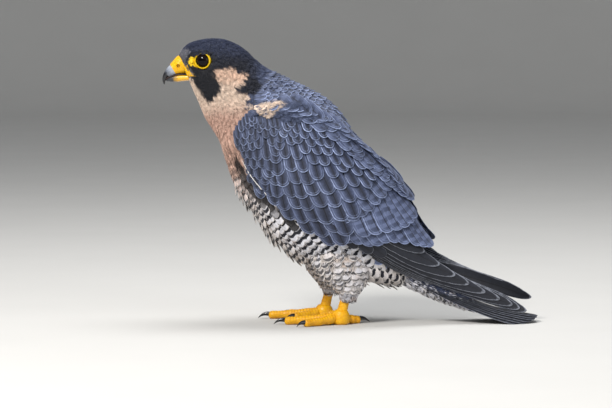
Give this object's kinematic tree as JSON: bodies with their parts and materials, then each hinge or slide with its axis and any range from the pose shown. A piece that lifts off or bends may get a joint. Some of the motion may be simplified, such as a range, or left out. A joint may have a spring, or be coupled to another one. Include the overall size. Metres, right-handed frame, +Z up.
{
  "type": "peregrine falcon",
  "caption": "Life-size standing falcon in profile, with folded feathered wings, hooked bill, long-toed feet with claws, and its tail reaching the ground.",
  "frame": {"origin": "centre of the bird's box, on the ground it stands on", "axes": "+X runs from the bill to the tail tip, +Y from the bird's left to its right, +Z up"},
  "size_m": [0.3452, 0.1232, 0.2607],
  "materials": {
    "crown_feathers": "soft close feathers, blue-black slate",
    "slate_feathers": "overlapping vanes, blue-grey slate with pale edges",
    "tail_feathers": "long smooth vanes, blackish slate",
    "pale_feathers": "soft downy feathers, cream to peach",
    "barred_feathers": "soft feathers, whitish grey with dark bars",
    "yellow_skin": "bare scaly skin, slightly waxy",
    "horn": "polished dark horn",
    "eye": "wet glossy dark brown"
  },
  "bodies": {
    "root": {"head": "crown_feathers", "neck": "pale_feathers", "torso": "barred_feathers", "tail": "tail_feathers", "cere": "yellow_skin", "bill_upper": "horn", "bill_lower": "yellow_skin", "eye_left": "eye", "eyelids_left": "yellow_skin", "wing_left": "slate_feathers", "thigh_left": "barred_feathers", "tarsus_left": "yellow_skin", "foot_left": "yellow_skin", "claw_inner_left": "horn", "claw_middle_left": "horn", "claw_outer_left": "horn", "claw_hind_left": "horn", "eye_right": "eye", "eyelids_right": "yellow_skin", "wing_right": "slate_feathers", "thigh_right": "barred_feathers", "tarsus_right": "yellow_skin", "foot_right": "yellow_skin", "claw_inner_right": "horn", "claw_middle_right": "horn", "claw_outer_right": "horn", "claw_hind_right": "horn"}
  },
  "joints": []
}
